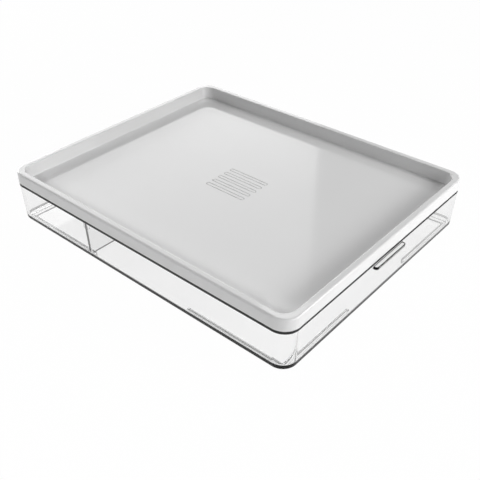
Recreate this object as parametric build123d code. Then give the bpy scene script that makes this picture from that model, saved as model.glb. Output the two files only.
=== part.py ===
from build123d import *
import math
import os

os.makedirs("parts", exist_ok=True)

# A flat divided food container: a clear tray on low foot ribs, a white lid with a sunken top,
# a soft seal round the tray's rim, and two clear dividers that lift out.
# X runs along the long sides, Y along the short sides, Z up from the table. Millimetres.
# An offset is measured inwards from the foot of the lid's skirt, seen from above.

# Lid
lid_length = 272.0
lid_width = 223.6
lid_corner = 12.2
overall_height = 45.8
skirt_height = 9.1
skirt_wall = 1.6
skirt_lean = 0.3
skirt_edge = 1.5
rim_width = 5.4
rim_top_wall = 1.6
rim_inner_edge = 0.8
recess_depth = 10.4
recess_lean = 0.5
recess_corner = 9.4
recess_fillet = 1.0
panel_wall = 1.8
lead_in = 0.6

# Tray
foot_height = 3.6
foot_offset = 6.8
foot_width = 2.6
foot_corner = 2.8
foot_gap_x = 95.0
foot_gap_y = 71.0
foot_edge = 0.8
floor_wall = 2.2
wall_reveal = 0.25
wall_lean = 1.0
base_edge = 2.0
inside_edge = 1.5
rim_wall = 1.5
rim_edge = 0.4
tab_width = 38.0
tab_reach = 3.0
tab_wall = 2.3
tab_drop = 0.5
tab_corner = 2.2
tab_edge = 0.4

# Seal
seal_height = 2.3
seal_reveal = 0.05
seal_edge = 0.3
tongue_height = 0.8
tongue_depth = 0.5

# Dividers
divider_wall = 2.5
divider_x = -49.3
cross_y = 0.0
divider_edge = 0.5
dip_width = 32.0
dip_depth = 5.0
dip_round = 5.0
dip_spacing = 108.0
guide_wall = 0.8
guide_depth = 1.2
guide_height = 4.0
guide_drop = 0.6

# Clearances
lid_gap = 0.3
slide_gap = 0.25
under_lid_gap = 0.3
seal_gap = 0.05

# Heights and offsets that follow from the sizes above
rim_offset = skirt_wall + lid_gap
cavity_offset = rim_offset + rim_wall
lid_wall_offset = cavity_offset + lid_gap
skirt_z = overall_height - skirt_height
shoulder_z = skirt_z - seal_height
rim_z = overall_height - rim_top_wall - lid_gap
panel_z = overall_height - recess_depth
panel_under_z = panel_z - panel_wall
floor_z = foot_height + floor_wall
divider_z = panel_under_z - under_lid_gap
guide_z = divider_z - guide_drop
foot_lean = wall_lean * (shoulder_z - floor_z) / (shoulder_z - foot_height)
box_middle_x = tab_reach / 2


def outline(offset, z, corner=None):
    """The container's plan shape, drawn in by an offset, at one height."""
    radius = lid_corner - offset if corner is None else corner
    return Pos(0, 0, z) * RectangleRounded(lid_length - 2 * offset, lid_width - 2 * offset, radius)


def block(offset, from_z, to_z, lean=0.0, corner=None):
    """A solid from the plan shape at one height to another, drawn in by its lean on the way."""
    rise = to_z - from_z
    draft = math.degrees(math.atan(lean / abs(rise)))
    return extrude(outline(offset, from_z, corner), abs(rise), dir=(0, 0, rise), taper=draft)


def ring(low_z, high_z, outer_offset, inner_offset):
    """An upright band that follows the plan shape."""
    band = outline(outer_offset, low_z) - outline(inner_offset, low_z)
    return extrude(band, high_z - low_z)


def edges_at(solid, z):
    """All edges that lie flat at one height."""
    return solid.edges().filter_by_position(Axis.Z, z - 0.001, z + 0.001)


def slab(x_low, x_high, y_low, y_high, z_low, z_high):
    """A plain block between six planes."""
    size = (x_high - x_low, y_high - y_low, z_high - z_low)
    middle = ((x_low + x_high) / 2, (y_low + y_high) / 2, (z_low + z_high) / 2)
    return Pos(*middle) * Box(*size)


def wall_inset(z):
    """How far the leaning wall stands inside the rim's inner face, at a height below the shoulder."""
    return foot_lean * (shoulder_z - z) / (shoulder_z - floor_z)


def make_lid():
    """Skirt, rim and recess wall form a channel that drops over the tray's rim."""
    skirt = block(0, skirt_z, overall_height, skirt_lean)
    skirt = fillet(edges_at(skirt, overall_height), skirt_edge)
    plug = block(lid_wall_offset, panel_under_z, skirt_z)
    plug = chamfer(edges_at(plug, panel_under_z), lead_in)
    channel = ring(skirt_z, overall_height - rim_top_wall, skirt_wall, lid_wall_offset)
    recess = block(rim_width, overall_height, panel_z, recess_lean, recess_corner)
    recess = fillet(edges_at(recess, panel_z), recess_fillet)
    lid = skirt + plug - channel - recess
    mouth = lid.faces().sort_by(Axis.Z)[-1].inner_wires()[0]
    return fillet(mouth.edges(), rim_inner_edge)


def make_foot_ribs():
    """One L-shaped rib under each corner, sized to drop inside the recess of a lid below."""
    inner_corner = foot_corner - foot_width
    band = outline(foot_offset, 0, foot_corner) - outline(foot_offset + foot_width, 0, inner_corner)
    gap_x = Rectangle(foot_gap_x + foot_width, lid_width)
    gap_y = Rectangle(lid_length, foot_gap_y + foot_width)
    plan = band - gap_x - gap_y
    middle = foot_offset + foot_width / 2
    end_x = (foot_gap_x + foot_width) / 2
    end_y = (foot_gap_y + foot_width) / 2
    for side_x in (-1, 1):
        for side_y in (-1, 1):
            ends = [
                (side_x * end_x, side_y * (lid_width / 2 - middle)),
                (side_x * (lid_length / 2 - middle), side_y * end_y),
            ]
            plan += Locations(*ends) * Circle(foot_width / 2)
    ribs = extrude(plan, foot_height + floor_wall / 2)
    return chamfer(edges_at(ribs, 0), foot_edge)


def make_tab():
    """A ledge under the skirt of one short side, to push against when the lid is lifted."""
    tip_x = lid_length / 2 + tab_reach
    root_x = lid_length / 2 - wall_reveal - rim_wall
    top_z = shoulder_z - tab_drop
    tab = slab(root_x, tip_x, -tab_width / 2, tab_width / 2, top_z - tab_wall, top_z)
    corners = tab.edges().filter_by(Axis.Z).group_by(Axis.X)[-1]
    tab = fillet(corners, tab_corner)
    return chamfer(edges_at(tab, top_z) + edges_at(tab, top_z - tab_wall), tab_edge)


def guide_pair():
    """Short strips at foot and top, either side of the plane Y = 0, standing out towards +X."""
    near = divider_wall / 2 + slide_gap
    strips = slab(0, guide_depth, near, near + guide_wall, floor_z, floor_z + guide_height)
    strips += slab(0, guide_depth, near, near + guide_wall, guide_z - guide_height, guide_z)
    return strips + mirror(strips, Plane.XZ)


def make_tray():
    """The clear moulding: cavity, stepped rim, foot ribs, lifting tab and divider guides."""
    shell = block(wall_reveal, shoulder_z, foot_height, wall_lean)
    shell = fillet(edges_at(shell, foot_height), base_edge)
    shell += block(rim_offset, shoulder_z, rim_z)
    shell += make_tab() + make_foot_ribs()
    cavity = block(cavity_offset, shoulder_z, floor_z, foot_lean)
    cavity = fillet(edges_at(cavity, floor_z), inside_edge)
    cavity += block(cavity_offset, shoulder_z, rim_z)
    shell -= cavity
    groove_z = shoulder_z + (seal_height - tongue_height) / 2
    shell -= ring(groove_z, groove_z + tongue_height, rim_offset, rim_offset + tongue_depth)
    shell = chamfer(edges_at(shell, rim_z), rim_edge)
    guide = guide_pair() + Pos(-guide_depth, 0, 0) * guide_pair()
    seat = cavity_offset + foot_lean
    for side in (-1, 1):
        shell += Pos(divider_x, side * (lid_width / 2 - seat), 0) * Rot(0, 0, 90) * guide
    return shell + Pos(seat - lid_length / 2, cross_y, 0) * guide


def make_seal():
    """A soft band round the rim. It sits on the tray's shoulder, and the skirt closes on it."""
    band = ring(shoulder_z, skirt_z, wall_reveal + seal_reveal, rim_offset - seal_gap)
    lips = band.faces().sort_by(Axis.Z)
    edges = lips[0].outer_wire().edges() + lips[-1].outer_wire().edges()
    band = chamfer(edges, seal_edge)
    tongue_z = shoulder_z + (seal_height - tongue_height) / 2 + seal_gap
    tongue_top = tongue_z + tongue_height - 2 * seal_gap
    return band + ring(tongue_z, tongue_top, rim_offset - 2 * seal_gap, rim_offset + tongue_depth - seal_gap)


def divider_plate(foot_half, top_half, dips):
    """An upright plate in the XZ plane: leaning ends, rounded foot corners, finger dips on top."""
    corners = [(-foot_half, floor_z), (foot_half, floor_z), (top_half, divider_z), (-top_half, divider_z)]
    face = make_face(Polyline(*corners, close=True))
    dip_radius = (dip_width**2 / 4 + dip_depth**2) / (2 * dip_depth)
    for dip in dips:
        face -= Pos(dip, divider_z - dip_depth + dip_radius) * Circle(dip_radius)
    lips = face.vertices().group_by(Axis.Y)[-1].sort_by(Axis.X)[1:-1]
    face = fillet(lips, dip_round)
    feet = face.vertices().group_by(Axis.Y)[0]
    face = fillet(feet, inside_edge + slide_gap)
    plate = extrude(Plane.XZ * face, divider_wall / 2, both=True)
    rims = plate.faces().filter_by(Axis.Y).edges()
    top = rims.filter_by(lambda edge: edge.bounding_box().min.Z > divider_z - dip_depth - divider_edge)
    return chamfer(top, divider_edge)


def make_long_divider():
    """Runs from one long wall to the other and carries the guides of the cross divider."""
    foot_half = lid_width / 2 - cavity_offset - wall_inset(floor_z) - slide_gap
    top_half = lid_width / 2 - cavity_offset - wall_inset(divider_z) - slide_gap
    plate = divider_plate(foot_half, top_half, [-dip_spacing / 2, dip_spacing / 2])
    guides = Pos(-divider_wall / 2, cross_y, 0) * mirror(guide_pair(), Plane.YZ)
    return Pos(divider_x, 0, 0) * (Rot(0, 0, 90) * plate + guides)


def make_cross_divider():
    """Splits the narrow bay, from the short wall to the long divider."""
    near_wall = -(lid_length / 2 - cavity_offset - wall_inset(floor_z)) + slide_gap
    far_wall = divider_x - divider_wall / 2 - slide_gap
    half = (far_wall - near_wall) / 2
    return Pos((near_wall + far_wall) / 2, cross_y, 0) * divider_plate(half, half, [0])


pieces = {
    "clear_tray": make_tray(),
    "white_lid": make_lid(),
    "rim_seal": make_seal(),
    "long_divider": make_long_divider(),
    "cross_divider": make_cross_divider(),
}

# The origin is the middle of the footprint, with the tab counted in
for name, piece in pieces.items():
    export_step(Pos(-box_middle_x, 0, 0) * piece, f"parts/{name}.step")
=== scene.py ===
import math

import bmesh
import bpy
from bpy.props import FloatProperty, FloatVectorProperty, IntProperty, PointerProperty
from mathutils import Matrix, Vector


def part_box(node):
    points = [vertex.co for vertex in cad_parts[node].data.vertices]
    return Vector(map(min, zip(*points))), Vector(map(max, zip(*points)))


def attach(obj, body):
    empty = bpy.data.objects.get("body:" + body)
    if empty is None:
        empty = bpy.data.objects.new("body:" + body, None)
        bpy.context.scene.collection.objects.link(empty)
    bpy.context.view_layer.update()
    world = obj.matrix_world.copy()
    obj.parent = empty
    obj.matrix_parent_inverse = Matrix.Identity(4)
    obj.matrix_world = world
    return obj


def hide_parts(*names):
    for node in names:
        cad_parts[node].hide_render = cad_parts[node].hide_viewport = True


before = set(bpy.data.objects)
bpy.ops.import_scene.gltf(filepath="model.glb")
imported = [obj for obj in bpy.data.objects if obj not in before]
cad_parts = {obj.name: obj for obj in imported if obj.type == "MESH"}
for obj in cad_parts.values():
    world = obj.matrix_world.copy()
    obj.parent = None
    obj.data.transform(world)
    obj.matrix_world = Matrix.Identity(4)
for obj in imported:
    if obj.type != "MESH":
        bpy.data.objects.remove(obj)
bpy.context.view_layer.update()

bl_info = {
    "name": "Divided food container",
    "version": (1, 0, 0),
    "blender": (4, 5, 0),
    "location": "3D View > Sidebar > Container",
    "description": "A clear tray with a white sunken lid, a soft seal and two lift-out dividers",
    "category": "Add Mesh",
}

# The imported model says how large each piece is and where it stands
lid_low, lid_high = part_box("white_lid")
tray_low, tray_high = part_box("clear_tray")
seal_low, seal_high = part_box("rim_seal")
long_low, long_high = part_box("long_divider")
cross_low, cross_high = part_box("cross_divider")
plan_middle = (lid_low + lid_high) / 2
plan_length = lid_high.x - lid_low.x
plan_width = lid_high.y - lid_low.y

# How finely round shapes are divided, and how near counts as the same
CORNER_STEPS = 24
BEND_STEPS = 12
END_STEPS = 6
BAR_STEPS = 10
SHARP_ANGLE = math.radians(30)
MERGE_ANGLE = math.radians(0.5)
QUARTER_TURN = math.pi / 2
SAME_PLACE = 1e-6
HELD_APART = Vector((0, 0, 1))

# A face is flat where its normal is nearly upright, and leans where its normal isn't quite level
FLAT_FACE = 0.999
LEANING_FACE = 0.05

# The corners of a bar take this share of its half width, so that no two of them meet
BAR_END = 0.98

# Untinted, and what clear plastic passes of a lamp's light
WHITE = (1, 1, 1)
LAMP_PASS = (0.95, 0.95, 0.95)

# Noise keeps mostly between these
NOISE_LOW = 0.3
NOISE_HIGH = 0.7

# The floor's paint, and the heights in degrees between which the backdrop turns into the ceiling
FLOOR_PAINT = (0.9, 0.9, 0.9)
BACKDROP_TOP = 22
CEILING_FROM = 60

# The photograph's point of view, and where the light behind the container is turned
CAMERA_PLACE = (0.30086, -0.34683, 0.31206)
CAMERA_AIM = (0.0494, -0.0553, 0.0354)
SENSOR_WIDTH = 36.0
BACK_AIM = (-0.338, -0.262)


def length(label, note, metres):
    """A size in metres that a user can change."""
    return FloatProperty(
        name=label, description=note, default=metres, min=0.0, precision=5,
        subtype="DISTANCE", unit="LENGTH",
    )


def colour(label, note, red, green, blue):
    """A surface colour that a user can change."""
    return FloatVectorProperty(
        name=label, description=note, default=(red, green, blue), size=3,
        min=0.0, max=1.0, subtype="COLOR",
    )


def share(label, note, value, most=1.0):
    """A plain number from nothing up to a limit."""
    return FloatProperty(name=label, description=note, default=value, min=0.0, max=most)


class LidSizes(bpy.types.PropertyGroup):
    """Sizes of the white lid. An offset is measured inwards from the foot of the skirt."""

    corner: length("Outer corner", "Corner radius at the foot of the skirt", 0.0122)
    skirt_wall: length("Skirt wall", "Thickness of the skirt", 0.0016)
    skirt_lean: length("Skirt lean", "How far the skirt draws in from foot to rim", 0.0003)
    skirt_round: length("Skirt round", "Radius between the skirt and the rim", 0.0015)
    rim_width: length("Rim width", "From the skirt's foot to the mouth of the recess", 0.0054)
    rim_wall: length("Rim wall", "Thickness of the plastic over the channel", 0.0016)
    rim_round: length("Rim round", "Radius between the rim and the recess", 0.0008)
    recess_depth: length("Recess depth", "From the rim down to the panel", 0.0104)
    recess_lean: length("Recess lean", "How far the recess draws in from mouth to panel", 0.0005)
    recess_corner: length("Recess corner", "Corner radius at the mouth of the recess", 0.0094)
    recess_round: length("Recess round", "Radius between the recess wall and the panel", 0.001)
    plug_offset: length("Plug offset", "From the skirt's foot to the face inside the tray", 0.0037)
    lead_in: length("Lead-in", "Bevel at the foot of the plug", 0.0006)
    soft_edge: length("Soft edge", "Radius of the moulded edges underneath", 0.00025)


class MotifSizes(bpy.types.PropertyGroup):
    """Sizes of the plain bars engraved in the middle of the lid."""

    bars: IntProperty(name="Bars", description="How many bars there are", default=5, min=1, max=9)
    reach: length("Reach", "Length of a bar", 0.038)
    spread: length("Spread", "From the first bar's edge to the last bar's", 0.0315)
    bar_width: length("Bar width", "Width of a bar across its outline", 0.0037)
    line_width: length("Line width", "Width of the engraved line", 0.0006)
    line_depth: length("Line depth", "Depth of the engraved line", 0.00025)


class TraySizes(bpy.types.PropertyGroup):
    """Sizes of the clear tray. An offset is measured inwards from the foot of the lid's skirt."""

    foot_height: length("Foot height", "From the table to the underside of the floor", 0.0036)
    floor_wall: length("Floor wall", "Thickness of the floor", 0.0022)
    wall_reveal: length("Wall reveal", "Offset of the outer wall at its top", 0.00025)
    wall_lean: length("Wall lean", "How far the outer wall draws in on its way down", 0.001)
    base_round: length("Base round", "Radius between the outer wall and the underside", 0.002)
    rim_offset: length("Rim offset", "Offset of the rim's outer face", 0.0019)
    rim_wall: length("Rim wall", "Thickness of the rim", 0.0015)
    rim_round: length("Rim round", "Radius along the top of the rim", 0.0004)
    cavity_round: length("Cavity round", "Radius between the cavity's wall and floor", 0.0015)
    groove_height: length("Groove height", "Height of the groove that holds the seal", 0.0008)
    groove_depth: length("Groove depth", "Depth of the groove that holds the seal", 0.0005)
    foot_offset: length("Foot offset", "Offset of the foot ribs' outer face", 0.0068)
    foot_width: length("Foot width", "Thickness of a foot rib", 0.0026)
    foot_corner: length("Foot corner", "Corner radius of a foot rib's outer face", 0.0028)
    foot_gap_x: length("Foot gap, long side", "Between two ribs along a long side", 0.095)
    foot_gap_y: length("Foot gap, short side", "Between two ribs along a short side", 0.071)
    foot_round: length("Foot round", "Radius along the edges that stand on the table", 0.0007)
    foot_seam: length("Foot seam", "Hairline under the floor, where light turns back", 0.00002)
    seam_round: length("Seam round", "Radius along a foot rib's upper edges", 0.0003)
    tab_width: length("Tab width", "Width of the lifting tab", 0.038)
    tab_wall: length("Tab wall", "Thickness of the lifting tab", 0.0023)
    tab_drop: length("Tab drop", "From the shoulder down to the tab", 0.0005)
    tab_corner: length("Tab corner", "Corner radius of the tab, seen from above", 0.0022)
    tab_round: length("Tab round", "Radius along the edges of the tab", 0.0005)
    guide_wall: length("Guide wall", "Thickness of a divider guide", 0.0008)
    guide_depth: length("Guide depth", "How far a divider guide stands out of the wall", 0.0012)
    guide_height: length("Guide height", "Height of a divider guide", 0.004)
    guide_drop: length("Guide drop", "From the dividers' top down to the guides' top", 0.0006)
    slide_gap: length("Slide gap", "Play between a divider and its guides", 0.00025)


class SealSizes(bpy.types.PropertyGroup):
    """Sizes of the soft seal between the lid and the tray."""

    outer_offset: length("Outer offset", "From the skirt's foot to the seal's outer face", 0.0003)
    inner_offset: length("Inner offset", "From the skirt's foot to the seal's inner face", 0.00185)
    tongue_height: length("Tongue height", "Height of the lip in the tray's groove", 0.0007)
    tongue_depth: length("Tongue depth", "How far the lip reaches into the groove", 0.0005)
    lip_round: length("Lip round", "Radius of the seal's outer edges", 0.0003)


class Finishes(bpy.types.PropertyGroup):
    """Colours and clearness of the plastics."""

    lid_colour: colour("Lid", "The white plastic of the lid", 0.80, 0.80, 0.80)
    # Painted shade: the grey in the engraved lines stands for the shade in the grooves
    motif_shade_colour: colour("Motif", "The grey fill of the engraved lines", 0.50, 0.50, 0.50)
    # Near-black, so that the seal band makes the dark line under the skirt's foot
    seal_colour: colour("Seal", "The dark silicone of the seal", 0.01, 0.01, 0.011)
    clear_tint: colour("Clear tint", "What the clear plastic passes", 0.62, 0.62, 0.62)
    # Painted shade: the base tint darkens the tray's rounded base edge
    base_edge_painted_shade: colour("Base tint", "What the tray's rounded base edge passes", 0.3, 0.3, 0.3)
    # Painted shade: the small edge tint darkens the ribs' feet and the tab's edges
    small_edge_painted_shade: colour("Small edge tint", "What the ribs' and tab's edges pass", 0.06, 0.06, 0.06)
    clear_shine: share("Clear shine", "How much the clear plastic mirrors, seen straight on", 0.3)
    clear_depth: share("Clear depth", "How much light the tray's plastic takes", 40.0, 500.0)
    divider_depth: share("Divider depth", "How much light the dividers' plastic takes", 130.0, 500.0)
    clear_index: share("Clear index", "How strongly the clear plastic bends light", 1.52, 3.0)


class StudioSizes(bpy.types.PropertyGroup):
    """The floor, the light and the lens."""

    floor_width: length("Floor width", "Side of the floor", 6.0)
    floor_glow: share("Floor glow", "Share of the floor's white that shadows leave alone", 0.985)
    glow_inside: share("Glow inside", "The same share, for the floor seen through the tray", 0.93)
    fill: share("Fill", "Strength of the light from all round", 0.0, 10.0)
    ceiling: share("Ceiling", "How bright the room is overhead, beside the white backdrop", 0.12)
    wash_reach: length("Wash reach", "How far in front the wash light falls on the floor", 0.42)
    focal: FloatProperty(name="Focal length", description="Lens, in millimetres", default=51.43)


def plan_loop(bm, offset, z, corner):
    """One loop of edges: the container's plan shape, drawn in by an offset, at one height."""
    size = Matrix.Diagonal((plan_length / 2 - offset, plan_width / 2 - offset, 1, 1))
    place = Matrix.Translation((plan_middle.x, plan_middle.y, z))
    return rounded_loop(bm, place @ size, corner, CORNER_STEPS)


def rounded_loop(bm, placed, corner, steps):
    """One loop of edges: a rectangle with rounded corners."""
    quad = bmesh.ops.create_grid(bm, x_segments=1, y_segments=1, size=1.0, matrix=placed)["verts"]
    rounded = bmesh.ops.bevel(
        bm, geom=quad, offset=corner, offset_type="OFFSET", segments=steps, profile=0.5,
        affect="VERTICES", material=-1,
    )["verts"]
    face = rounded[0].link_faces[0]
    edges = list(face.edges)
    bmesh.ops.delete(bm, geom=[face], context="FACES_ONLY")
    return edges


def skin(bm, loops):
    """Faces from each loop to the next. A pair in one plane would twist, so it is held apart."""
    for first, second in zip(loops, loops[1:]):
        verts = list({vert for edge in second for vert in edge.verts})
        bmesh.ops.translate(bm, verts=verts, vec=HELD_APART)
        bmesh.ops.bridge_loops(bm, edges=first + second)
        bmesh.ops.translate(bm, verts=verts, vec=-HELD_APART)


def cap(bm, loop):
    """One flat face across a loop."""
    return bmesh.ops.contextual_create(bm, geom=loop)["faces"][0]


def round_edges(bm, edges, radius, steps):
    """A fillet along some edges."""
    return bmesh.ops.bevel(
        bm, geom=edges, offset=radius, offset_type="OFFSET", segments=steps, profile=0.5,
        affect="EDGES", clamp_overlap=False, material=-1,
    )


def block(bm, low, high):
    """A plain block between two corners. Returns its vertices."""
    low = Vector(low)
    high = Vector(high)
    size = high - low
    placed = Matrix.Translation((low + high) / 2) @ Matrix.Diagonal((*size, 1))
    return bmesh.ops.create_cube(bm, size=1.0, matrix=placed)["verts"]


def edges_of(verts, wanted):
    """The edges among some vertices that a test picks out."""
    edges = {edge for vert in verts for edge in vert.link_edges}
    return [edge for edge in edges if wanted(edge)]


def flat_at(z):
    """A test for edges that lie flat at one height."""
    return lambda edge: all(abs(vert.co.z - z) < SAME_PLACE for vert in edge.verts)


def mesh_of(bm, name):
    """A finished mesh: closed, turned outwards, smooth but for its true edges."""
    bmesh.ops.remove_doubles(bm, verts=bm.verts, dist=SAME_PLACE)
    bmesh.ops.recalc_face_normals(bm, faces=bm.faces)
    for face in bm.faces:
        face.smooth = True
    for edge in bm.edges:
        edge.smooth = edge.calc_face_angle(0.0) < SHARP_ANGLE
    mesh = bpy.data.meshes.new(name)
    bm.to_mesh(mesh)
    bm.free()
    return mesh


def add_piece(mesh, name, body, node, materials):
    """Shows a mesh as one piece of the container, in place of its CAD node."""
    piece = bpy.data.objects.new(name, mesh)
    bpy.context.scene.collection.objects.link(piece)
    for material in materials:
        mesh.materials.append(material)
    even = piece.modifiers.new("Even shading", "WEIGHTED_NORMAL")
    even.keep_sharp = True
    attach(piece, body)
    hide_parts(node)
    return piece


def new_material(name):
    """An empty node tree with an output and object coordinates."""
    material = bpy.data.materials.new(name)
    material.use_nodes = True
    tree = material.node_tree
    tree.nodes.clear()
    output = tree.nodes.new("ShaderNodeOutputMaterial")
    place = tree.nodes.new("ShaderNodeTexCoord").outputs["Object"]
    return material, tree, output, place


def noise(tree, place, scale, detail=2.0):
    """A noise pattern with about so many spots to the metre."""
    pattern = tree.nodes.new("ShaderNodeTexNoise")
    pattern.inputs["Scale"].default_value = scale
    pattern.inputs["Detail"].default_value = detail
    tree.links.new(place, pattern.inputs["Vector"])
    return pattern.outputs["Fac"]


def spread(tree, value, low=0.0, high=1.0):
    """A pattern's values, stretched between two limits."""
    stretch = tree.nodes.new("ShaderNodeMapRange")
    stretch.inputs["From Min"].default_value = NOISE_LOW
    stretch.inputs["From Max"].default_value = NOISE_HIGH
    stretch.inputs["To Min"].default_value = low
    stretch.inputs["To Max"].default_value = high
    tree.links.new(value, stretch.inputs["Value"])
    return stretch.outputs["Result"]


def shaded(tree, value, base, change):
    """A colour that a pattern makes a little lighter or darker."""
    mix = tree.nodes.new("ShaderNodeMix")
    mix.data_type = "RGBA"
    mix.inputs["A"].default_value = (*[part * (1 - change) for part in base], 1)
    mix.inputs["B"].default_value = (*[min(part * (1 + change), 1) for part in base], 1)
    tree.links.new(value, mix.inputs["Factor"])
    return mix.outputs["Result"]


def bumps(tree, value, depth):
    """A pattern's values as a relief of some depth."""
    relief = tree.nodes.new("ShaderNodeBump")
    relief.inputs["Distance"].default_value = depth
    relief.inputs["Strength"].default_value = 1.0
    tree.links.new(value, relief.inputs["Height"])
    return relief.outputs["Normal"]


def plastic(tree, base, roughness):
    """A plastic surface shader."""
    shader = tree.nodes.new("ShaderNodeBsdfPrincipled")
    shader.inputs["IOR"].default_value = 1.5
    tree.links.new(base, shader.inputs["Base Color"])
    tree.links.new(roughness, shader.inputs["Roughness"])
    return shader


def lid_plastic(finishes):
    """White moulded plastic with a satin, spark-eroded grain."""
    material, tree, output, place = new_material("lid_plastic")
    flow = spread(tree, noise(tree, place, scale=14, detail=3))
    grain = noise(tree, place, scale=2600)
    shine = spread(tree, noise(tree, place, scale=60, detail=4), low=0.34, high=0.40)
    shader = plastic(tree, shaded(tree, flow, finishes.lid_colour, change=0.008), shine)
    shader.inputs["Specular IOR Level"].default_value = 0.2
    shader.inputs["Coat Weight"].default_value = 1.0
    shader.inputs["Coat Roughness"].default_value = 0.08
    tree.links.new(bumps(tree, grain, depth=0.00001), shader.inputs["Normal"])
    tree.links.new(shader.outputs["BSDF"], output.inputs["Surface"])
    return material


def motif_painted_shade(finishes):
    """Dull grey painted into the engraved lines, as the shade of the grooves."""
    material, tree, output, place = new_material("motif_painted_shade")
    wear = spread(tree, noise(tree, place, scale=900, detail=3))
    rough = spread(tree, noise(tree, place, scale=400), low=0.5, high=0.6)
    shader = plastic(tree, shaded(tree, wear, finishes.motif_shade_colour, change=0.05), rough)
    tree.links.new(shader.outputs["BSDF"], output.inputs["Surface"])
    return material


def seal_rubber(finishes):
    """A dull near-black band with a fine grain; its darkness makes the dark line under the skirt's
    foot.
    """
    material, tree, output, place = new_material("seal_rubber")
    dust = spread(tree, noise(tree, place, scale=700, detail=4))
    grain = noise(tree, place, scale=3000)
    rough = spread(tree, noise(tree, place, scale=250, detail=3), low=0.55, high=0.7)
    shader = plastic(tree, shaded(tree, dust, finishes.seal_colour, change=0.12), rough)
    shader.inputs["IOR"].default_value = 1.41
    tree.links.new(bumps(tree, grain, depth=0.00001), shader.inputs["Normal"])
    tree.links.new(shader.outputs["BSDF"], output.inputs["Surface"])
    return material


def clear_plastic(finishes, name, density, tint):
    """Polished clear plastic: it bends what is behind it and takes a little light on the way."""
    material, tree, output, place = new_material(name)
    shader = tree.nodes.new("ShaderNodeBsdfPrincipled")
    shader.inputs["Base Color"].default_value = (*tint, 1)
    shader.inputs["Specular Tint"].default_value = (*[finishes.clear_shine] * 3, 1)
    shader.inputs["IOR"].default_value = finishes.clear_index
    shader.inputs["Transmission Weight"].default_value = 1.0
    haze = spread(tree, noise(tree, place, scale=45, detail=3), low=0.0, high=0.012)
    waves = noise(tree, place, scale=25, detail=1)
    tree.links.new(haze, shader.inputs["Roughness"])
    tree.links.new(bumps(tree, waves, depth=0.000004), shader.inputs["Normal"])
    passes = tree.nodes.new("ShaderNodeBsdfTransparent")
    passes.inputs["Color"].default_value = (*LAMP_PASS, 1)
    lamp_side = tree.nodes.new("ShaderNodeLightPath").outputs["Is Shadow Ray"]
    mix = tree.nodes.new("ShaderNodeMixShader")
    tree.links.new(lamp_side, mix.inputs["Fac"])
    tree.links.new(shader.outputs["BSDF"], mix.inputs[1])
    tree.links.new(passes.outputs["BSDF"], mix.inputs[2])
    tree.links.new(mix.outputs["Shader"], output.inputs["Surface"])
    depth = tree.nodes.new("ShaderNodeVolumeAbsorption")
    depth.inputs["Color"].default_value = (*finishes.clear_tint, 1)
    depth.inputs["Density"].default_value = density
    tree.links.new(depth.outputs["Volume"], output.inputs["Volume"])
    return material


def engrave(bm, panel, sizes):
    """Cuts the outlines of some plain rounded bars into the panel."""
    z = panel.verts[0].co.z
    edge = list(panel.edges)
    bmesh.ops.delete(bm, geom=[panel], context="FACES_ONLY")
    half = sizes.bar_width / 2
    step = (sizes.spread - sizes.bar_width) / max(sizes.bars - 1, 1)
    lines = []
    for bar in range(sizes.bars):
        y = plan_middle.y + (bar - (sizes.bars - 1) / 2) * step
        place = Matrix.Translation((plan_middle.x, y, z))
        outer = Matrix.Diagonal((sizes.reach / 2, half, 1, 1))
        inner_half = half - sizes.line_width
        inner = Matrix.Diagonal((sizes.reach / 2 - sizes.line_width, inner_half, 1, 1))
        lines.append(rounded_loop(bm, place @ outer, half * BAR_END, BAR_STEPS))
        lines.append(rounded_loop(bm, place @ inner, inner_half * BAR_END, BAR_STEPS))
    rings = [line_edge for line in lines for line_edge in line]
    bmesh.ops.triangle_fill(bm, edges=edge + rings, use_beauty=True, normal=(0, 0, 1))
    for outer, inner in zip(lines[0::2], lines[1::2]):
        floor = []
        for line in (outer, inner):
            cut = bmesh.ops.extrude_edge_only(bm, edges=line)["geom"]
            verts = [item for item in cut if isinstance(item, bmesh.types.BMVert)]
            bmesh.ops.translate(bm, verts=verts, vec=(0, 0, -sizes.line_depth))
            floor.append([item for item in cut if isinstance(item, bmesh.types.BMEdge)])
        across = bmesh.ops.bridge_loops(bm, edges=floor[0] + floor[1])["faces"]
        # The groove floors take the second slot, the grey painted shade of the grooves
        for face in across:
            face.material_index = 1


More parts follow.
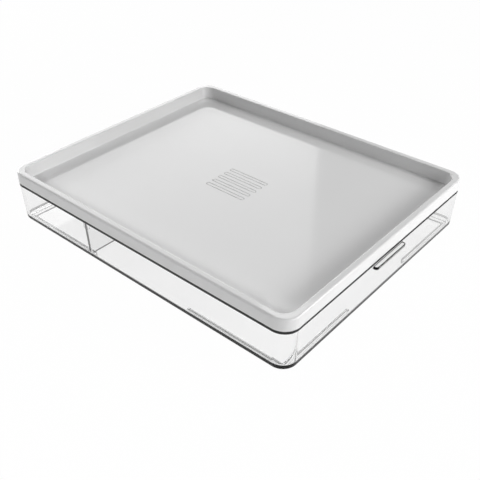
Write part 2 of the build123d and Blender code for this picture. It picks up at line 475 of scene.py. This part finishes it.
def make_lid(sizes, motif, finishes):
    """Skirt, rim, recess and panel in one skin that closes round the channel underneath."""
    bm = bmesh.new()
    top = lid_high.z
    foot = seal_high.z
    panel = top - sizes.recess_depth
    roof = top - sizes.rim_wall
    inner = sizes.corner - sizes.skirt_wall
    plug = sizes.corner - sizes.plug_offset
    recess_foot = plan_loop(
        bm, sizes.rim_width + sizes.recess_lean, panel, sizes.recess_corner - sizes.recess_lean
    )
    mouth = plan_loop(bm, sizes.rim_width, top, sizes.recess_corner)
    skirt_top = plan_loop(bm, sizes.skirt_lean, top, sizes.corner - sizes.skirt_lean)
    skirt_foot = plan_loop(bm, 0.0, foot, sizes.corner)
    inner_foot = plan_loop(bm, sizes.skirt_wall, foot, inner)
    inner_roof = plan_loop(bm, sizes.skirt_wall, roof, inner)
    plug_roof = plan_loop(bm, sizes.plug_offset, roof, plug)
    plug_foot = plan_loop(bm, sizes.plug_offset, lid_low.z, plug)
    outside = [recess_foot, mouth, skirt_top, skirt_foot]
    skin(bm, [*outside, inner_foot, inner_roof, plug_roof, plug_foot])
    cap(bm, plug_foot)
    cap(bm, recess_foot)
    round_edges(bm, recess_foot, sizes.recess_round, steps=5)
    round_edges(bm, mouth, sizes.rim_round, steps=5)
    round_edges(bm, skirt_top, sizes.skirt_round, steps=7)
    round_edges(bm, skirt_foot + inner_foot + inner_roof + plug_roof, sizes.soft_edge, steps=3)
    round_edges(bm, plug_foot, sizes.lead_in, steps=4)
    flats = [face for face in bm.faces if abs(face.calc_center_median().z - panel) < SAME_PLACE]
    engrave(bm, max(flats, key=lambda face: face.calc_area()), motif)
    mesh = mesh_of(bm, "lid_shell")
    # The second slot is the grey painted shade in the engraved lines
    materials = [lid_plastic(finishes), motif_painted_shade(finishes)]
    return add_piece(mesh, "lid_shell", "lid", "white_lid", materials)


def cavity_offsets(sizes):
    """How far in the cavity's wall stands at its top, and at the floor, where it has leant in."""
    top = sizes.rim_offset + sizes.rim_wall
    under_shoulder = seal_low.z - sizes.foot_height
    return top, top + sizes.wall_lean * (under_shoulder - sizes.floor_wall) / under_shoulder


def make_shell(bm, sizes, corner):
    """The tray's walls, floor and stepped rim."""
    shoulder = seal_low.z
    floor = sizes.foot_height + sizes.floor_wall
    rim = tray_high.z
    cavity, foot = cavity_offsets(sizes)
    groove_low = shoulder + (seal_high.z - shoulder - sizes.groove_height) / 2
    groove_high = groove_low + sizes.groove_height
    groove = sizes.rim_offset + sizes.groove_depth
    cavity_foot = plan_loop(bm, foot, floor, corner - foot)
    cavity_waist = plan_loop(bm, cavity, shoulder, corner - cavity)
    rim_inner = plan_loop(bm, cavity, rim, corner - cavity)
    rim_outer = plan_loop(bm, sizes.rim_offset, rim, corner - sizes.rim_offset)
    step = [
        plan_loop(bm, sizes.rim_offset, groove_high, corner - sizes.rim_offset),
        plan_loop(bm, groove, groove_high, corner - groove),
        plan_loop(bm, groove, groove_low, corner - groove),
        plan_loop(bm, sizes.rim_offset, groove_low, corner - sizes.rim_offset),
        plan_loop(bm, sizes.rim_offset, shoulder, corner - sizes.rim_offset),
    ]
    shoulder_edge = plan_loop(bm, sizes.wall_reveal, shoulder, corner - sizes.wall_reveal)
    base_offset = sizes.wall_reveal + sizes.wall_lean
    base = plan_loop(bm, base_offset, sizes.foot_height, corner - base_offset)
    skin(bm, [cavity_foot, cavity_waist, rim_inner, rim_outer, *step, shoulder_edge, base])
    cap(bm, cavity_foot)
    cap(bm, base)
    round_edges(bm, cavity_foot, sizes.cavity_round, steps=8)
    round_edges(bm, base, sizes.base_round, steps=10)
    round_edges(bm, rim_inner + rim_outer, sizes.rim_round, steps=4)


def make_foot_rib(bm, sizes, corner):
    """One L-shaped rib under the corner towards +X and -Y, seen from the middle of the plan."""
    outer = sizes.foot_offset
    inner = outer + sizes.foot_width
    turn = Vector((plan_length / 2 - corner, corner - plan_width / 2, 0))
    start_x = sizes.foot_gap_x / 2
    end_y = -sizes.foot_gap_y / 2
    path = [bm.verts.new((start_x, offset - plan_width / 2, 0)) for offset in (outer, inner)]
    edge = bm.edges.new(path)
    along = bmesh.ops.extrude_edge_only(bm, edges=[edge])["geom"]
    tip = [item for item in along if isinstance(item, bmesh.types.BMVert)]
    bmesh.ops.translate(bm, verts=tip, vec=(turn.x - start_x, 0, 0))
    edge = [
        item for item in along
        if isinstance(item, bmesh.types.BMEdge) and set(item.verts) == set(tip)
    ]
    bend = bmesh.ops.spin(
        bm, geom=edge + tip, cent=turn, axis=(0, 0, 1), angle=QUARTER_TURN, steps=BEND_STEPS
    )["geom_last"]
    tip = [item for item in bend if isinstance(item, bmesh.types.BMVert)]
    edge = [item for item in bend if isinstance(item, bmesh.types.BMEdge)]
    along = bmesh.ops.extrude_edge_only(bm, edges=edge)["geom"]
    last = [item for item in along if isinstance(item, bmesh.types.BMVert)]
    bmesh.ops.translate(bm, verts=last, vec=(0, end_y - turn.y, 0))
    bmesh.ops.bevel(
        bm, geom=path + last, offset=sizes.foot_width / 2, offset_type="OFFSET",
        segments=END_STEPS, profile=0.5, affect="VERTICES", material=-1,
    )
    bmesh.ops.remove_doubles(bm, verts=bm.verts, dist=SAME_PLACE)
    foot = list(bm.faces)
    up = bmesh.ops.extrude_face_region(bm, geom=foot, use_keep_orig=True)["geom"]
    top = [item for item in up if isinstance(item, bmesh.types.BMVert)]
    height = sizes.foot_height - sizes.foot_seam
    bmesh.ops.translate(bm, verts=top, vec=(0, 0, height))
    bmesh.ops.recalc_face_normals(bm, faces=bm.faces)
    for z, radius, steps in ((0, sizes.foot_round, 4), (height, sizes.seam_round, 2)):
        rim = [
            edge for edge in bm.edges
            if flat_at(z)(edge) and edge.calc_face_angle(0.0) > SHARP_ANGLE
        ]
        round_edges(bm, rim, radius, steps)


def make_ribs(sizes, corner):
    """The four foot ribs, as mirror images of one."""
    bm = bmesh.new()
    make_foot_rib(bm, sizes, corner)
    for axis in ("X", "Y"):
        bmesh.ops.mirror(bm, geom=bm.verts[:] + bm.edges[:] + bm.faces[:], axis=axis)
    bmesh.ops.translate(bm, verts=bm.verts, vec=(plan_middle.x, plan_middle.y, 0))
    bmesh.ops.recalc_face_normals(bm, faces=bm.faces)
    return bm


def add_tab(bm, sizes):
    """The ledge on the short side towards +X, for two fingers."""
    top = seal_low.z - sizes.tab_drop
    root = lid_high.x - sizes.wall_reveal - sizes.rim_wall
    half = sizes.tab_width / 2
    low = (root, plan_middle.y - half, top - sizes.tab_wall)
    verts = block(bm, low, (tray_high.x, plan_middle.y + half, top))

    def at_tip(edge):
        return all(abs(vert.co.x - tray_high.x) < SAME_PLACE for vert in edge.verts)

    upright = edges_of(verts, lambda edge: at_tip(edge) and not flat_at(edge.verts[0].co.z)(edge))
    round_edges(bm, upright, sizes.tab_corner, steps=8)
    around = [
        edge for edge in bm.edges
        if edge.calc_face_angle(0.0) > SHARP_ANGLE
        and min(vert.co.x for vert in edge.verts) > root - SAME_PLACE
        and (flat_at(top)(edge) or flat_at(top - sizes.tab_wall)(edge))
    ]
    round_edges(bm, around, sizes.tab_round, steps=4)


def add_guides(bm, sizes, foot):
    """Pairs of short upright strips at foot and top, which hold the ends of the dividers."""
    floor = sizes.foot_height + sizes.floor_wall
    top = long_high.z - sizes.guide_drop
    spans = (
        (floor - sizes.floor_wall / 2, floor + sizes.guide_height),
        (top - sizes.guide_height, top),
    )
    plate = cross_high.y - cross_low.y
    near = plate / 2 + sizes.slide_gap
    far = near + sizes.guide_wall
    long_middle = long_high.x - plate / 2
    cross_middle = (cross_low.y + cross_high.y) / 2
    seat_x = lid_low.x + foot
    for side in (-1, 1):
        seat_y = plan_middle.y + side * (plan_width / 2 - foot)
        for hand in (-1, 1):
            xs = sorted((long_middle + hand * near, long_middle + hand * far))
            ys = (seat_y - sizes.guide_depth, seat_y + sizes.guide_depth)
            for low_z, high_z in spans:
                block(bm, (xs[0], ys[0], low_z), (xs[1], ys[1], high_z))
    for hand in (-1, 1):
        ys = sorted((cross_middle + hand * near, cross_middle + hand * far))
        xs = (seat_x - sizes.guide_depth, seat_x + sizes.guide_depth)
        for low_z, high_z in spans:
            block(bm, (xs[0], ys[0], low_z), (xs[1], ys[1], high_z))


def joined(shell, extra):
    """The union of two closed meshes, as one skin."""
    made = []
    for bm in (shell, extra):
        made.append(bpy.data.objects.new("part", mesh_of(bm, "part")))
        bpy.context.scene.collection.objects.link(made[-1])
    union = made[0].modifiers.new("Join", "BOOLEAN")
    union.operation = "UNION"
    union.solver = "EXACT"
    union.object = made[1]
    ready = made[0].evaluated_get(bpy.context.evaluated_depsgraph_get())
    mesh = bpy.data.meshes.new_from_object(ready)
    bm = bmesh.new()
    bm.from_mesh(mesh)
    bpy.data.meshes.remove(mesh)
    for part in made:
        bpy.data.meshes.remove(part.data)
    return bm


def edge_slot(face, sizes):
    """The slot that a face of the tray takes: 1 on the base round, 2 on ribs' and tab's rounds. Both
    slots are painted shade, darker tints along those edges.
    """
    if abs(face.normal.z) > FLAT_FACE:
        return 0
    if face.center.x > lid_high.x:
        return 2 if abs(face.normal.z) > LEANING_FACE else 0
    z = face.center.z
    if z < sizes.foot_round:
        return 2
    inset = min(
        plan_length / 2 - abs(face.center.x - plan_middle.x),
        plan_width / 2 - abs(face.center.y - plan_middle.y),
    )
    on_base = sizes.foot_height < z < sizes.foot_height + sizes.base_round
    return int(on_base and inset < cavity_offsets(sizes)[0])


def make_tray(sizes, lid, finishes):
    """The clear moulding: cavity, stepped rim, foot ribs, lifting tab and divider guides."""
    shell = bmesh.new()
    make_shell(shell, sizes, lid.corner)
    extra = bmesh.new()
    add_tab(extra, sizes)
    add_guides(extra, sizes, cavity_offsets(sizes)[1])
    tray = joined(shell, extra)
    ribs = mesh_of(make_ribs(sizes, sizes.foot_offset + sizes.foot_corner), "ribs")
    tray.from_mesh(ribs)
    bpy.data.meshes.remove(ribs)
    mesh = mesh_of(tray, "tray_shell")
    for face in mesh.polygons:
        face.material_index = edge_slot(face, sizes)
    depth = finishes.clear_depth
    # Slots 1 and 2 are painted shade: darker tints on the base round and on the ribs' and tab's edges
    materials = [
        clear_plastic(finishes, "tray_plastic", depth, WHITE),
        clear_plastic(finishes, "tray_base_edge_painted_shade", depth, finishes.base_edge_painted_shade),
        clear_plastic(finishes, "tray_small_edges_painted_shade", depth, finishes.small_edge_painted_shade),
    ]
    return add_piece(mesh, "tray_shell", "tray", "clear_tray", materials)


def make_seal(sizes, lid, finishes):
    """A soft band on the tray's shoulder, with a lip in the rim's groove."""
    bm = bmesh.new()
    low = seal_low.z
    high = seal_high.z
    lip = sizes.inner_offset + sizes.tongue_depth
    lip_low = (low + high - sizes.tongue_height) / 2
    lip_high = lip_low + sizes.tongue_height
    section = [
        (sizes.outer_offset, low),
        (sizes.outer_offset, high),
        (sizes.inner_offset, high),
        (sizes.inner_offset, lip_high),
        (lip, lip_high),
        (lip, lip_low),
        (sizes.inner_offset, lip_low),
        (sizes.inner_offset, low),
    ]
    loops = [plan_loop(bm, offset, z, lid.corner - offset) for offset, z in section]
    skin(bm, [*loops, loops[0]])
    round_edges(bm, loops[0] + loops[1], sizes.lip_round, steps=4)
    mesh = mesh_of(bm, "seal_band")
    near_black = seal_rubber(finishes)
    return add_piece(mesh, "seal_band", "tray", "rim_seal", [near_black])


def make_divider(node, body, material):
    """A merged copy of a divider, so that its rounds shade smoothly."""
    bm = bmesh.new()
    bm.from_mesh(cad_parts[node].data)
    bmesh.ops.remove_doubles(bm, verts=bm.verts, dist=SAME_PLACE)
    bmesh.ops.dissolve_limit(bm, angle_limit=MERGE_ANGLE, verts=bm.verts, edges=bm.edges)
    name = node + "_plate"
    return add_piece(mesh_of(bm, name), name, body, node, [material])


def backdrop_rays(tree):
    """One where a ray shows the background: straight, mirrored or through clear plastic."""
    path = tree.nodes.new("ShaderNodeLightPath")
    seen = path.outputs["Is Camera Ray"]
    for kind in ("Is Glossy Ray", "Is Transmission Ray"):
        either = tree.nodes.new("ShaderNodeMath")
        either.operation = "MAXIMUM"
        tree.links.new(seen, either.inputs[0])
        tree.links.new(path.outputs[kind], either.inputs[1])
        seen = either.outputs["Value"]
    return seen


def make_floor(sizes):
    """A plain pale floor. Part of its white is its own glow, so the shadow on it stays light."""
    bm = bmesh.new()
    bmesh.ops.create_grid(bm, x_segments=1, y_segments=1, size=sizes.floor_width / 2)
    mesh = bpy.data.meshes.new("floor")
    bm.to_mesh(mesh)
    bm.free()
    floor = bpy.data.objects.new("floor", mesh)
    bpy.context.scene.collection.objects.link(floor)
    material, tree, output, place = new_material("floor_white")
    matt = tree.nodes.new("ShaderNodeBsdfDiffuse")
    paint = shaded(tree, noise(tree, place, scale=3), FLOOR_PAINT, change=0.01)
    tree.links.new(paint, matt.inputs["Color"])
    glow = tree.nodes.new("ShaderNodeEmission")
    seen = tree.nodes.new("ShaderNodeMix")
    seen.inputs["A"].default_value = sizes.glow_inside
    seen.inputs["B"].default_value = sizes.floor_glow
    straight = tree.nodes.new("ShaderNodeLightPath").outputs["Is Camera Ray"]
    tree.links.new(straight, seen.inputs["Factor"])
    part = tree.nodes.new("ShaderNodeMath")
    part.operation = "MULTIPLY"
    tree.links.new(seen.outputs["Result"], part.inputs[1])
    tree.links.new(backdrop_rays(tree), part.inputs[0])
    mix = tree.nodes.new("ShaderNodeMixShader")
    tree.links.new(part.outputs["Value"], mix.inputs["Fac"])
    tree.links.new(matt.outputs["BSDF"], mix.inputs[1])
    tree.links.new(glow.outputs["Emission"], mix.inputs[2])
    tree.links.new(mix.outputs["Shader"], output.inputs["Surface"])
    mesh.materials.append(material)


def make_world(sizes):
    """A white backdrop all round under a dim ceiling, and a fill light for a user to turn up."""
    world = bpy.data.worlds.new("studio")
    bpy.context.scene.world = world
    world.use_nodes = True
    tree = world.node_tree
    tree.nodes.clear()
    output = tree.nodes.new("ShaderNodeOutputWorld")
    way = tree.nodes.new("ShaderNodeTexCoord").outputs["Generated"]
    height = tree.nodes.new("ShaderNodeSeparateXYZ")
    tree.links.new(way, height.inputs["Vector"])
    sweep = tree.nodes.new("ShaderNodeMapRange")
    sweep.interpolation_type = "SMOOTHSTEP"
    sweep.inputs["From Min"].default_value = math.sin(math.radians(BACKDROP_TOP))
    sweep.inputs["From Max"].default_value = math.sin(math.radians(CEILING_FROM))
    sweep.inputs["To Min"].default_value = 1.0
    sweep.inputs["To Max"].default_value = sizes.ceiling
    tree.links.new(height.outputs["Z"], sweep.inputs["Value"])
    fill = tree.nodes.new("ShaderNodeBackground")
    fill.inputs["Strength"].default_value = sizes.fill
    white = tree.nodes.new("ShaderNodeBackground")
    tree.links.new(sweep.outputs["Result"], white.inputs["Strength"])
    mix = tree.nodes.new("ShaderNodeMixShader")
    tree.links.new(backdrop_rays(tree), mix.inputs["Fac"])
    for shader, slot in ((fill, 1), (white, 2)):
        shader.inputs["Color"].default_value = (*WHITE, 1)
        tree.links.new(shader.outputs["Background"], mix.inputs[slot])
    tree.links.new(mix.outputs["Shader"], output.inputs["Surface"])


def turn_to(thing, point):
    """Points a light or a camera at a place."""
    thing.rotation_euler = (Vector(point) - thing.location).to_track_quat("-Z", "Y").to_euler()


def softbox(name, azimuth, elevation, distance, width, height, watts, beam=180):
    """A flat light that looks at the container. Azimuth 0 stands towards -Y, 90 towards +X."""
    lamp = bpy.data.lights.new(name, "AREA")
    lamp.shape = "RECTANGLE"
    lamp.size = width
    lamp.size_y = height
    lamp.energy = watts
    lamp.spread = math.radians(beam)
    turn = math.radians(azimuth)
    rise = math.radians(elevation)
    out = math.cos(rise)
    way = Vector((math.sin(turn) * out, -math.cos(turn) * out, math.sin(rise)))
    light = bpy.data.objects.new(name, lamp)
    light.location = plan_middle + way * distance
    turn_to(light, plan_middle)
    bpy.context.scene.collection.objects.link(light)
    return light


def make_lights(sizes):
    """Boxes behind, overhead, at the tab's side and at the far side, and a wash on the floor."""
    back = softbox(
        "back", azimuth=-107.4, elevation=42.9, distance=1.61, width=1.7, height=1.7, watts=6.9,
        beam=100,
    )
    turn_to(back, (*BACK_AIM, back.location.z))
    softbox("side", azimuth=-95, elevation=12, distance=1.0, width=0.6, height=0.2, watts=3.5)
    softbox("overhead", azimuth=-165, elevation=62, distance=0.8, width=0.4, height=0.4, watts=1.1)
    softbox("key", azimuth=90, elevation=18, distance=0.8, width=0.5, height=0.25, watts=2.0)
    softbox("key_back", azimuth=112, elevation=24, distance=0.75, width=0.4, height=0.3, watts=2.4)
    wash = softbox(
        "wash", azimuth=0, elevation=30, distance=0.87, width=0.6, height=0.2, watts=0.77,
        beam=69,
    )
    turn_to(wash, (0, -sizes.wash_reach, 0))


def make_camera(sizes):
    """The photograph's point of view."""
    lens = bpy.data.cameras.new("camera")
    lens.lens = sizes.focal
    lens.sensor_width = SENSOR_WIDTH
    camera = bpy.data.objects.new("camera", lens)
    camera.location = CAMERA_PLACE
    turn_to(camera, CAMERA_AIM)
    bpy.context.scene.collection.objects.link(camera)
    bpy.context.scene.camera = camera


class CONTAINER_OT_lid(bpy.types.Operator):
    """Make the white lid"""

    bl_idname = "container.lid"
    bl_label = "Lid"

    def execute(self, context):
        scene = context.scene
        make_lid(scene.lid_sizes, scene.motif_sizes, scene.container_finishes)
        return {"FINISHED"}


class CONTAINER_OT_tray(bpy.types.Operator):
    """Make the clear tray"""

    bl_idname = "container.tray"
    bl_label = "Tray"

    def execute(self, context):
        scene = context.scene
        make_tray(scene.tray_sizes, scene.lid_sizes, scene.container_finishes)
        return {"FINISHED"}


class CONTAINER_OT_seal(bpy.types.Operator):
    """Make the soft seal between lid and tray"""

    bl_idname = "container.seal"
    bl_label = "Seal"

    def execute(self, context):
        scene = context.scene
        make_seal(scene.seal_sizes, scene.lid_sizes, scene.container_finishes)
        return {"FINISHED"}


class CONTAINER_OT_dividers(bpy.types.Operator):
    """Make the two clear dividers"""

    bl_idname = "container.dividers"
    bl_label = "Dividers"

    def execute(self, context):
        finishes = context.scene.container_finishes
        material = clear_plastic(finishes, "divider_plastic", finishes.divider_depth, WHITE)
        make_divider("long_divider", "long_divider_body", material)
        make_divider("cross_divider", "cross_divider_body", material)
        return {"FINISHED"}


class CONTAINER_OT_studio(bpy.types.Operator):
    """Make the floor, the light and the camera"""

    bl_idname = "container.studio"
    bl_label = "Studio"

    def execute(self, context):
        sizes = context.scene.studio_sizes
        make_camera(sizes)
        make_floor(sizes)
        make_world(sizes)
        make_lights(sizes)
        context.scene.view_settings.view_transform = "Standard"
        return {"FINISHED"}


class VIEW3D_PT_container(bpy.types.Panel):
    """Lists the container's pieces and sizes"""

    bl_label = "Container"
    bl_idname = "VIEW3D_PT_container"
    bl_space_type = "VIEW_3D"
    bl_region_type = "UI"
    bl_category = "Container"

    def draw(self, context):
        layout = self.layout
        for operator in OPERATORS:
            layout.operator(operator.bl_idname)
        for name, group in GROUPS.items():
            box = layout.box()
            for prop in group.__annotations__:
                box.prop(getattr(context.scene, name), prop)


GROUPS = {
    "lid_sizes": LidSizes,
    "motif_sizes": MotifSizes,
    "tray_sizes": TraySizes,
    "seal_sizes": SealSizes,
    "container_finishes": Finishes,
    "studio_sizes": StudioSizes,
}
OPERATORS = (
    CONTAINER_OT_studio,
    CONTAINER_OT_tray,
    CONTAINER_OT_seal,
    CONTAINER_OT_dividers,
    CONTAINER_OT_lid,
)


def register():
    """Adds the sizes to the scene, and the operators and the panel."""
    for name, group in GROUPS.items():
        bpy.utils.register_class(group)
        setattr(bpy.types.Scene, name, PointerProperty(type=group))
    for operator in OPERATORS:
        bpy.utils.register_class(operator)
    bpy.utils.register_class(VIEW3D_PT_container)


def unregister():
    """Takes away what register added."""
    bpy.utils.unregister_class(VIEW3D_PT_container)
    for operator in reversed(OPERATORS):
        bpy.utils.unregister_class(operator)
    for name, group in reversed(GROUPS.items()):
        delattr(bpy.types.Scene, name)
        bpy.utils.unregister_class(group)


def main():
    """Makes the stage and the container's pieces."""
    register()
    bpy.ops.container.studio()
    bpy.ops.container.tray()
    bpy.ops.container.seal()
    bpy.ops.container.dividers()
    bpy.ops.container.lid()


if __name__ == "__main__":
    main()
